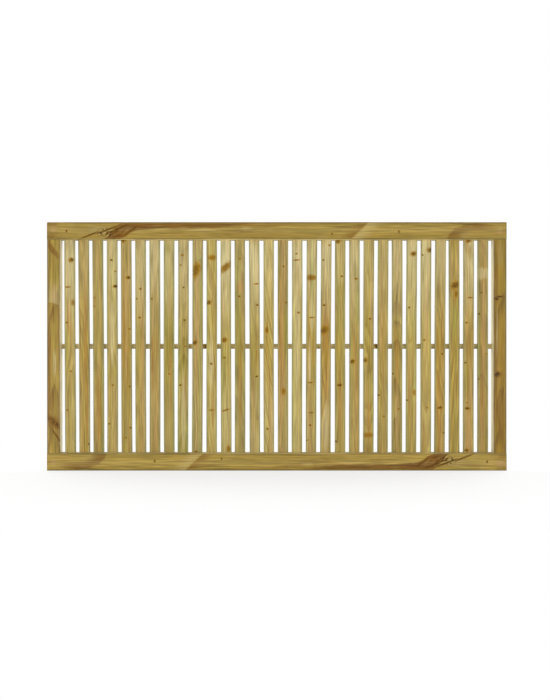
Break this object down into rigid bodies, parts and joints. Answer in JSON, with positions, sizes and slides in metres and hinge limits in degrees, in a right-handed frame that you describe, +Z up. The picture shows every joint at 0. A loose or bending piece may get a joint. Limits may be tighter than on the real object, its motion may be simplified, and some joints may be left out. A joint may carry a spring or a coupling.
{
  "type": "vertical slatted fence panel",
  "caption": "Framed timber fence panel: upright slats with open gaps, housed in grooved top and bottom rails between tenoned stiles, with a thin batten across the back.",
  "frame": {"origin": "on the ground under the middle of the panel, halfway through the frame's thickness", "axes": "+X along the panel to the right seen from the front, +Y from the front to the back, +Z up"},
  "size_m": [1.83, 0.045, 0.99],
  "materials": {
    "frame_timber": "planed softwood, pressure treated, olive brown",
    "slat_timber": "planed softwood, pressure treated, pale olive with knots",
    "batten_timber": "planed softwood, pressure treated",
    "galvanised_wire": "dull zinc"
  },
  "bodies": {
    "root": {"top_rail": "frame_timber", "bottom_rail": "frame_timber", "left_stile": "frame_timber", "right_stile": "frame_timber", "slat_01": "slat_timber", "slat_02": "slat_timber", "slat_03": "slat_timber", "slat_04": "slat_timber", "slat_05": "slat_timber", "slat_06": "slat_timber", "slat_07": "slat_timber", "slat_08": "slat_timber", "slat_09": "slat_timber", "slat_10": "slat_timber", "slat_11": "slat_timber", "slat_12": "slat_timber", "slat_13": "slat_timber", "slat_14": "slat_timber", "slat_15": "slat_timber", "slat_16": "slat_timber", "slat_17": "slat_timber", "slat_18": "slat_timber", "slat_19": "slat_timber", "slat_20": "slat_timber", "slat_21": "slat_timber", "slat_22": "slat_timber", "slat_23": "slat_timber", "slat_24": "slat_timber", "slat_25": "slat_timber", "slat_26": "slat_timber", "slat_27": "slat_timber", "slat_28": "slat_timber", "slat_29": "slat_timber", "slat_30": "slat_timber", "rear_batten": "batten_timber", "joint_pins": "galvanised_wire", "top_rail_pins": "galvanised_wire", "bottom_rail_pins": "galvanised_wire", "batten_pins": "galvanised_wire"}
  },
  "joints": []
}
